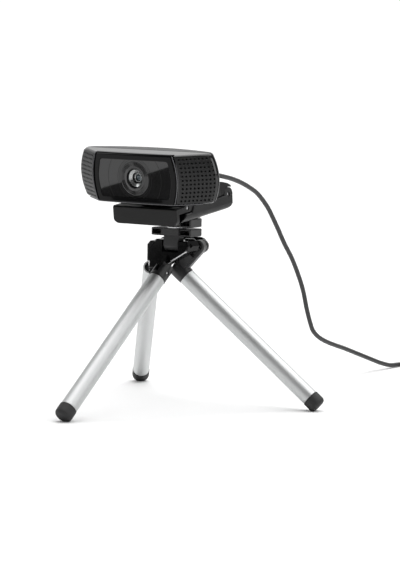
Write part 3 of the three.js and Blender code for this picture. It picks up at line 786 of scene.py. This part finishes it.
def front_of(x):
    """How far back the front lies at a place of the plan, before the wings' ends."""
    if x <= MIDDLE:
        return CROWN * (x / MIDDLE) ** 2
    return CROWN + (WING_START[1] - CROWN) * (x - MIDDLE) / (WING_START[0] - MIDDLE)


def half_plan():
    """The right half of the housing's outline seen from above, from its front to its back."""
    front = [(x, front_of(x)) for x in list(range(0, 31, 2)) + [31.5 + i * 2.6 for i in range(5)]]
    tip = quadratic(WING_START, (49, 12.6), WING_TIP, 8) + quadratic(WING_TIP, (49, 18.2), WING_BACK, 8)
    return front + [WING_START] + tip + quadratic(WING_BACK, (24, 25), (0, 25), 12)


def plan_loop(z, inset):
    """The housing's outline at a height, moved in by an inset."""
    half = half_plan()
    loop = half + [(-x, y) for x, y in half[-2:0:-1]]
    moved = []
    for index, (x, y) in enumerate(loop):
        before, after = loop[index - 1], loop[(index + 1) % len(loop)]
        along = Vector((after[0] - before[0], after[1] - before[1])).normalized()
        inward = Vector((-along.y, along.x))
        moved.append((x + inward.x * inset, y + inward.y * inset))
    edge, side = bezel_edge(z), half_width(z)
    scaled = []
    for x, y in moved:
        size = abs(x)
        if size <= MIDDLE:
            size = size * edge / MIDDLE
        else:
            size = edge + (size - MIDDLE) * (side - edge) / (HALF_WIDTH - MIDDLE)
        scaled.append((math.copysign(size, x), y))
    return scaled


def body_solid(name, grow=0.0, fillet=1.3):
    """The whole housing as one solid, grown outwards."""
    top = HALF_HEIGHT + grow
    levels = [((top - fillet) * step / 7, 0.0) for step in range(8)]
    for angle in np.radians([18, 36, 54, 72, 90]):
        levels.append((top - fillet + fillet * math.sin(angle), fillet * (1 - math.cos(angle))))
    levels = [(-z, inset) for z, inset in levels[:0:-1]] + levels
    rings = [[(x, y, z) for x, y in plan_loop(z, inset - grow)] for z, inset in levels]
    return loft(name, rings, CAMERA_FRAME, math.radians(40))


def barrel_outline(half, bulge, low, high, radius=0.0, steps=14):
    """A front view with straight top and bottom and bulging ends; the corners may be round."""
    right = []
    for step in range(steps + 1):
        z = low + (high - low) * step / steps
        right.append((half + bulge * (1 - (2 * step / steps - 1) ** 2), z))
    if radius:
        right = [p for p in right if low + radius <= p[1] <= high - radius]
        right = (
            arc((right[0][0] - radius, low + radius), radius, -90, -8, 5) + right[1:-1]
            + arc((right[-1][0] - radius, high - radius), radius, 8, 90, 5)
        )
    return right + [(-x, z) for x, z in right[::-1]]


def box_tool(low, high, place):
    outline = [(low[0], low[1]), (high[0], low[1]), (high[0], high[1]), (low[0], high[1])]
    return prism("tool", outline, "z", low[2], high[2], place)


GRILLE = {
    "rows": 11, "columns": 9, "row_pitch": 2.42, "column_pitch": 2.28, "hole": 0.6, "margin": 3.2,
    "low": -13.35, "high": 13.35,
}


def along_wing(z, distance):
    """The place and outward direction on a wing, at a distance along it from the bezel's edge."""
    loop = plan_loop(z, 0)[: len(half_plan())]
    edge = bezel_edge(z)
    left = distance
    for a, b in zip(loop, loop[1:]):
        if b[0] <= edge and left == distance:
            continue
        start = max(a[0], edge) if left == distance else a[0]
        share = (start - a[0]) / (b[0] - a[0]) if b[0] != a[0] and left == distance else 0
        a = (a[0] + (b[0] - a[0]) * share, a[1] + (b[1] - a[1]) * share)
        step = math.dist(a, b)
        if step >= left:
            place = (a[0] + (b[0] - a[0]) * left / step, a[1] + (b[1] - a[1]) * left / step)
            return place, ((b[1] - a[1]) / step, -(b[0] - a[0]) / step)
        left -= step
    return loop[-1], (1, 0)


def grille_outline(side, room):
    """The front view of a side grille: it follows the bezel's bulging end."""
    heights = np.linspace(GRILLE["low"] - room, GRILLE["high"] + room, 13)
    inner = [(bezel_edge(z) + 1.0 - room, z) for z in heights]
    outer = [(half_width(z) - 0.75 + room, z) for z in heights[::-1]]
    outline = [(side * x, float(z)) for x, z in inner + outer]
    return outline if side > 0 else outline[::-1]


def housing():
    """The front housing with its seats for the frame and the grilles, and the rear housing with its seam."""
    front = body_solid("housing_front")
    boolean(front, box_tool((-60, SPLIT - 0.15, -30), (60, 60, 30), CAMERA_FRAME))
    seat = prism("seat", barrel_outline(FRAME_EDGE + 0.2, FRAME_BULGE, -16, 16), "y", -8, 3.4, CAMERA_FRAME)
    boolean(front, seat)
    for side in (-1, 1):
        pocket = prism("pocket", grille_outline(side, 0.12), "y", -5, 14.6, CAMERA_FRAME)
        boolean(pocket, body_solid("core", -2.8, 0.6))
        boolean(front, pocket)
    boolean(front, turned("throat", [(0, 2), (10, 2), (10, 14), (0, 14)], CAMERA_FRAME, 40, "y"))
    bevel(front, 0.16 * MM, 2, 30)
    dress(front, "gloss_black", "camera", ["front_housing"])

    rear = body_solid("housing_rear")
    boolean(rear, box_tool((-60, -10, -30), (60, SPLIT + 0.15, 30), CAMERA_FRAME))
    seam = box_tool((-60, SPLIT - 0.1, -30), (60, SPLIT + 0.55, 30), CAMERA_FRAME)
    boolean(seam, body_solid("core", -0.45, 1.0))
    boolean(rear, seam)
    bevel(rear, 0.16 * MM, 2, 30)
    dress(rear, "black_plastic", "camera", ["rear_housing"])


def grille(side, word):
    """A perforated panel that follows the wing, each hole a real one with a round lip."""
    panel = body_solid("grille_panel_" + word, 0.32, 1.3)
    boolean(panel, body_solid("under", -0.8, 0.9))
    boolean(panel, prism("outline", grille_outline(side, 0), "y", -6, 14.4, CAMERA_FRAME), "INTERSECT")
    bevel(panel, 0.22 * MM, 2, 30)
    hole = GRILLE["hole"]
    profile = [(0, -1.6), (hole + 0.5, -0.8), (hole, -0.2), (hole, 1.9), (0, 1.9)]
    drills = []
    for row in range(GRILLE["rows"]):
        z = (row - (GRILLE["rows"] - 1) / 2) * GRILLE["row_pitch"]
        for column in range(GRILLE["columns"]):
            centre, outward = along_wing(z, GRILLE["margin"] + column * GRILLE["column_pitch"])
            turn = Matrix.Rotation(side * math.atan2(outward[0], -outward[1]), 4, "Z")
            place = CAMERA_FRAME @ Matrix.Translation((side * centre[0], centre[1], z)) @ turn
            drills.append(turned("drill", profile, place, 12, "y"))
    boolean(panel, join_objects("drills", drills))
    dress(panel, "grille_black", "camera", ["grille_" + word])


def bezel_ring():
    """The glossy arched frame around the window, a little proud, its edges cut to catch light."""
    ring = body_solid("front_frame", 0.38, 1.5)
    steps = ((FRAME_EDGE, 3.2), (FRAME_EDGE, 2.3), (25.7, 0.15), (24.6, -6))
    rings = [[(x, y, z) for x, z in barrel_outline(half, FRAME_BULGE, -15.2, 15.2)] for half, y in steps]
    boolean(ring, loft("form", rings, CAMERA_FRAME), "INTERSECT")
    opening = prism("opening", barrel_outline(23.3, 2.9, -11.35, 11.1, 2.2), "y", -6, 8, CAMERA_FRAME)
    boolean(ring, opening)
    bevel(ring, 0.3 * MM, 3, 30)
    dress(ring, "frame_black", "camera", ["front_bezel"])


def painted_frame_highlight():
    """Painted highlight: thin light grey lines along the frame's arched sides and along the front's lower
    edge, where those edges catch the light.
    """
    highlight_lines = []
    heights = [z * 1.18 for z in range(-12, 13)]
    for side in (-1, 1):
        arch = [CAMERA_FRAME @ Vector((side * (bezel_edge(z) + 0.1), 0.6, z)) for z in heights]
        highlight_lines.append(tube("arch", arch, 0.2 * MM, 8))
    low = -HALF_HEIGHT + 0.1
    loop = [p for p in plan_loop(low, 0.2) if p[1] < 10.5]
    lower = sorted((Vector((x, y, low)) for x, y in loop), key=lambda point: point.x)
    highlight_lines.append(tube("lower", [CAMERA_FRAME @ point for point in lower], 0.27 * MM, 8))
    dress(join_objects("painted_frame_highlight", highlight_lines), "painted_highlight_grey", "camera")


PANE_DEPTH = 0.55


def window():
    """A flat dark pane behind the frame, with the lens's finely ridged ring let into it."""
    outline = barrel_outline(23.2, 2.85, -11.25, 11.0, 2.1)
    pane = prism("window_pane", outline, "y", PANE_DEPTH, 2.7, CAMERA_FRAME)
    boolean(pane, turned("hole", [(0, -3), (10.05, -3), (10.05, 6), (0, 6)], CAMERA_FRAME, 72, "y"))
    bevel(pane, 0.12 * MM, 2, 30)
    dress(pane, "window_black", "camera", ["front_window"])

    lines = []
    for radius in (10.9, 12.0, 18.9):
        line_profile = [(radius, 0.7), (radius, 0.52), (radius + 0.16, 0.52), (radius + 0.16, 0.7)]
        lines.append(turned("line", line_profile, CAMERA_FRAME, 120, "y"))
    lines = join_objects("window_lines", lines)
    boolean(lines, box_tool((-24, 0, -10.9), (24, 3, 10.6), CAMERA_FRAME), "INTERSECT")
    dress(lines, "soft_black", "camera")

    profile = [(6.3, 3.0), (10.0, 3.0), (10.0, 0.62), (9.86, 0.52)]
    for ridge in range(4):
        r = 9.6 - ridge * 0.62
        profile += [(r, 0.52), (r - 0.13, 0.36), (r - 0.3, 0.36), (r - 0.43, 0.6)]
    profile += [(7.0, 0.52), (6.2, 0.5), (5.92, 0.42), (5.72, 0.5), (5.6, 0.75)]
    profile += [(5.2, 2.1), (5.2, 3.0), (6.3, 3.0)]
    ring = turned("lens_surround", profile, CAMERA_FRAME, 96, "y")
    bevel(ring, 0.04 * MM, 2, 30)
    dress(ring, "window_black", "camera", ["lens_ring"])


def lens():
    """The silver cone behind the window, the black cell in it, and the front glass in its silver rim."""
    cone = turned("lens_cone", [
        (5.12, 1.9), (5.0, 1.8), (3.5, 2.75), (3.3, 2.95), (3.3, 4.6), (5.12, 4.6), (5.12, 1.9),
    ], CAMERA_FRAME, 72, "y")
    dress(cone, "lens_silver", "camera")
    cell = turned("lens_cell", [
        (0, 14), (6, 14), (6, 5.2), (3.25, 5.0), (3.2, 4.7), (2.62, 4.7), (2.62, 5.3), (0, 5.3),
    ], CAMERA_FRAME, 64, "y")
    dress(cell, "black_plastic", "camera", ["lens_barrel"])
    silver = turned("lens_rim", [
        (2.6, 5.25), (2.6, 4.1), (2.5, 3.95), (2.2, 3.95), (1.95, 4.2), (1.9, 5.25), (2.6, 5.25),
    ], CAMERA_FRAME, 64, "y")
    dress(silver, "lens_silver", "camera")
    angles = np.radians(np.linspace(0, 90, 12))[:-1]
    dome = [(1.88 * math.cos(a), 4.75 - 0.45 * math.sin(a)) for a in angles]
    profile = [(0, 5.25), (1.88, 5.2)] + dome + [(0, 4.3)]
    glass = turned("lens_dome", profile, CAMERA_FRAME, 64, "y")
    dress(glass, "lens_glass", "camera", ["lens_glass"])


housing()
for side, word in ((-1, "left"), (1, "right")):
    grille(side, word)
bezel_ring()
# Painted highlight lines along the frame's arched sides and lower edge.
painted_frame_highlight()
window()
lens()

# ------------------------------------------------------------------ clip, head, hub and legs
def across(leg, outline, low, high):
    """A tool from an outline in a leg's plane, (outwards, height), solid from sideways low to high."""
    angle = math.radians(LEG_AZIMUTH[leg])
    radial = Vector((math.cos(angle), math.sin(angle), 0))
    side = Vector((-math.sin(angle), math.cos(angle), 0))
    turn = Matrix((radial, side, Vector((0, 0, 1)))).transposed()
    return prism("tool", outline, "y", low, high, placed(DESIGN, turn))


CLIP_HALF = 23.05  # half the clip's width
KNUCKLE = 34  # where the arm's glossy rear end begins


def clip_pieces():
    """The clip's foot, a bar with well rounded lower edges, and its arm with the lip."""
    under = prism("under", round_rect(-CLIP_HALF, CLIP_HALF, -8.75, 20, 4.6, 8), "y", -20, 60, CLIP_FRAME)
    outline = [(-20, -20), (41, -20)] + arc((41.2, -2.9), 5.9, -90, 0, 10) + [(47.1, 20), (-20, 20)]
    heel = prism("heel", outline, "x", -30, 30, CLIP_FRAME)
    softened("clip_foot", "clip_base", "soft_black", 0.45, trims=[("INTERSECT", under), ("INTERSECT", heel)])
    corners = prism("corners", round_rect(-CLIP_HALF, CLIP_HALF, -9.15, 20, 3.4, 8), "y", -20, 60, CLIP_FRAME)
    behind, knuckle = (box_tool((-40, y, -30), (40, 80, 30), CLIP_FRAME) for y in (KNUCKLE, KNUCKLE + 0.1))
    trims = [("INTERSECT", corners), ("DIFFERENCE", behind)]
    softened("clip_arm", "monitor_clip", "soft_black", 0.75, 4, trims)
    softened("clip_arm", "clip_knuckle", "hub_black", 0.75, 4, [("INTERSECT", knuckle)])
    softened("lip_pad", "lip_cushion", "rubber", 0.3)


def plate_pockets(low, high):
    """Tools for the pockets in a platform plate's front, left and right of its middle block."""
    tools = []
    for left, right in ((-13.5, -7.1), (6.9, 13.5)):
        outline = round_rect(HEAD_X + left, HEAD_X + right, low + 0.95, high - 0.95, 0.3, 3)
        tools.append(("DIFFERENCE", prism("pocket", outline, "y", -9, 1.5, DESIGN_FRAME)))
    return tools


def head_pieces():
    softened("tilt_stem", "tilt_head", "black_plastic", 0.3, trims=plate_pockets(100.8, 105.4))
    softened("upper_plate", "head_plate", "black_plastic", 0.3, trims=plate_pockets(106.3, 111.5))
    softened("foot_pad", "base_cushion", "rubber", 0.3)


ARM_START, ARM_PIVOT = (8.22, 79.99), (20.49, 93.97)  # the right leg's crank, in its leg's plane
# A painted highlight: a thin steel line along the hub's lower front edge, standing in for the light that edge
# catches.
HIGHLIGHT_PATH = [(1.6, -5.15, 81.1), (19.6, -5.15, 91.7), (20.1, -5.15, 92.0), (20.7, -5.15, 92.35)]
HIGHLIGHT_RADII = [0.4 * MM, 0.4 * MM, 0.75 * MM, 0.6 * MM]


def crank_point(distance, aside=0.0):
    """A point of the crank's side view, at a distance along its arm."""
    along = Vector((ARM_PIVOT[0] - ARM_START[0], ARM_PIVOT[1] - ARM_START[1])).normalized()
    return tuple(Vector(ARM_START) + along * distance + Vector((-along.y, along.x)) * aside)


def hub_pieces():
    """The hub with a painted highlight, a thin steel line along its lower front edge where that edge catches
    the light, and the crank arm with its raised rib and pivot well.
    """
    # Painted highlight along the hub's lower front edge.
    highlight_line = tube("hub_painted_highlight", [design(*point) for point in HIGHLIGHT_PATH], HIGHLIGHT_RADII, 16)
    dress(highlight_line, "steel", "hub")
    outline = [(17, 99.4), (17, 110), (40, 110), (40, 70), (19.5, 70)] + arc((18.4, 94.9), 4.3, -75, 75, 12)
    beyond = across("right", outline, 12.0, 20)
    outline = [(14.2, 95), (17, 95), (20.4, 97), (20.4, 98.6), (19.6, 99.2), (14.2, 99.2)]
    wall = across("right", outline, -1.4, 0.2)
    softened("hub", "tripod_hub", "hub_black", 0.5, trims=[("DIFFERENCE", beyond), ("UNION", wall)])
    outline = [crank_point(*place) for place in ((0.5, -2.5), (12.2, -2.5), (12.2, 2.5), (0.5, 2.5))]
    rib = across("right", outline, 2.1, 3.6)
    well = across("right", pill(crank_point(15.0), crank_point(18.6), 2.7), 1, 4.9)
    trims = [("UNION", rib), ("DIFFERENCE", well)]
    softened("leg_crank_right", "leg_right_crank", "black_plastic", 0.35, trims=trims)
    softened("leg_fork_front", "leg_front_fork", "black_plastic", 0.35)
    softened("leg_fork_rear", "leg_rear_fork", "black_plastic", 0.35)


def leg_pieces():
    for name in LEG_AZIMUTH:
        softened(f"leg_tube_{name}", f"leg_{name}_tube", "leg_aluminium", 0.12)
        softened(f"foot_cap_{name}", f"leg_{name}_foot", "rubber", 0.3)


softened("hinge_bracket", "camera_bracket", "soft_black", 0.5)
clip_pieces()
head_pieces()
hub_pieces()
leg_pieces()

KEPT = {
    "head_tilt_pin": "steel", "leg_pin_front": "steel", "leg_pin_right": "steel", "leg_pin_rear": "steel",
    "camera_screw": "steel", "clip_hinge_pin": "steel", "tripod_insert": "brass", "camera_hinge_pin": "steel",
    "lens_holder": "black_plastic", "image_sensor": "sensor_black", "circuit_board": "board_green",
    "microphone_left": "steel", "microphone_right": "steel", "status_light_left": "lamp_white",
    "status_light_right": "lamp_white", "housing_screw_left": "steel", "housing_screw_right": "steel",
}
for kept, look in KEPT.items():
    dress(NODES[kept], look)


# ------------------------------------------------------------------ studio
STUDIO = {"dim": 0.14, "back": 0.85, "seen": 1.05, "floor": 0.93, "sky": 3.1, "flag": 0.13}
FLOOR_HALF, FLOOR_DROP = 9, -0.0002  # metres
LAMP_TARGET = Vector((0, 0, 0.1))
VIEW_DIRECTION = Matrix.Rotation(math.radians(VIEW["azimuth"]), 3, "Z") @ Vector((0, 1, 0))


def area_light(name, place, size, power):
    data = bpy.data.lights.new(name, "AREA")
    data.shape = "RECTANGLE"
    data.size, data.size_y = size
    data.energy = power
    light = new_object(name, data)
    light.location = place
    light.rotation_euler = (LAMP_TARGET - light.location).to_track_quat("-Z", "Y").to_euler()


def surroundings():
    """White where the view sees it; for light and reflections, dim in front and bright behind the object."""
    world = bpy.data.worlds.new("surroundings")
    world.use_nodes = True
    nodes, links = world.node_tree.nodes, world.node_tree.links
    where = nodes.new("ShaderNodeTexCoord")
    toward = nodes.new("ShaderNodeVectorMath")
    toward.operation = "DOT_PRODUCT"
    toward.inputs[1].default_value = VIEW_DIRECTION
    bright = nodes.new("ShaderNodeMapRange")
    set_range(bright, 0.1, 0.85, STUDIO["dim"], STUDIO["back"])
    path = nodes.new("ShaderNodeLightPath")
    seen = nodes.new("ShaderNodeMix")
    seen.inputs["B"].default_value = STUDIO["seen"]
    links.new(where.outputs["Generated"], toward.inputs[0])
    links.new(toward.outputs["Value"], bright.inputs["Value"])
    links.new(path.outputs["Is Camera Ray"], seen.inputs["Factor"])
    links.new(bright.outputs["Result"], seen.inputs["A"])
    background = nodes["Background"]
    background.inputs["Color"].default_value = (1, 1, 1, 1)
    links.new(seen.outputs["Result"], background.inputs["Strength"])
    bpy.context.scene.world = world


def flag(name, corners):
    """A dark card that only reflections see."""
    card = add_object(name, corners, [[0, 1, 2, 3]])
    black = new_material(name, (0.0, 0.0, 0.0), 1.0, specular=0.0)
    shader_of(black).inputs["Emission Color"].default_value = (1, 1, 1, 1)
    shader_of(black).inputs["Emission Strength"].default_value = STUDIO["flag"]
    card.data.materials.append(black)
    card.visible_camera = card.visible_diffuse = card.visible_shadow = card.visible_transmission = False


def window_ray(x, z, distance):
    """Where the view's ray to a place of the window is, at a distance in metres after its reflection."""
    eye = camera.matrix_world.translation
    point = CAMERA_FRAME @ Vector((x, PANE_DEPTH, z))
    normal = (CAMERA_FRAME.to_3x3() @ Vector((0, -1, 0))).normalized()
    inward = (point - eye).normalized()
    return point + (inward - 2 * inward.dot(normal) * normal) * distance


def studio():
    """A white floor and white surroundings, with broad soft lamps."""
    corners = [(x * FLOOR_HALF, y * FLOOR_HALF, 0) for x, y in ((-1, -1), (1, -1), (1, 1), (-1, 1))]
    floor = add_object("floor", corners, [[0, 1, 2, 3]])
    floor.location.z = FLOOR_DROP
    pale = new_material("floor_pale", (STUDIO["floor"],) * 3, 0.7, specular=0.1)
    vary_color(pale, noise(pale, object_coordinates(pale), 3, 2), (0.92, 0.92, 0.92), (0.94, 0.94, 0.94))
    floor.data.materials.append(pale)
    surroundings()
    sky = bpy.data.lights.new("sky_lamp", "SUN")
    sky.energy = STUDIO["sky"]
    sky.angle = math.radians(75)
    new_object("sky_lamp", sky).rotation_euler = (math.radians(-12), math.radians(8), 0)
    area_light("right_lamp", (1.5, 0.1, 0.55), (0.7, 0.8), 4.5)
    area_light("left_lamp", (-1.2, -0.9, 0.8), (0.5, 0.8), 4)
    corners = [window_ray(x, z, 0.2) for x, z in ((-36, -10.75), (36, 11.5), (36, -30), (-36, -30))]
    flag("reflection_flag", corners)


studio()
bpy.context.scene.view_settings.view_transform = "Standard"
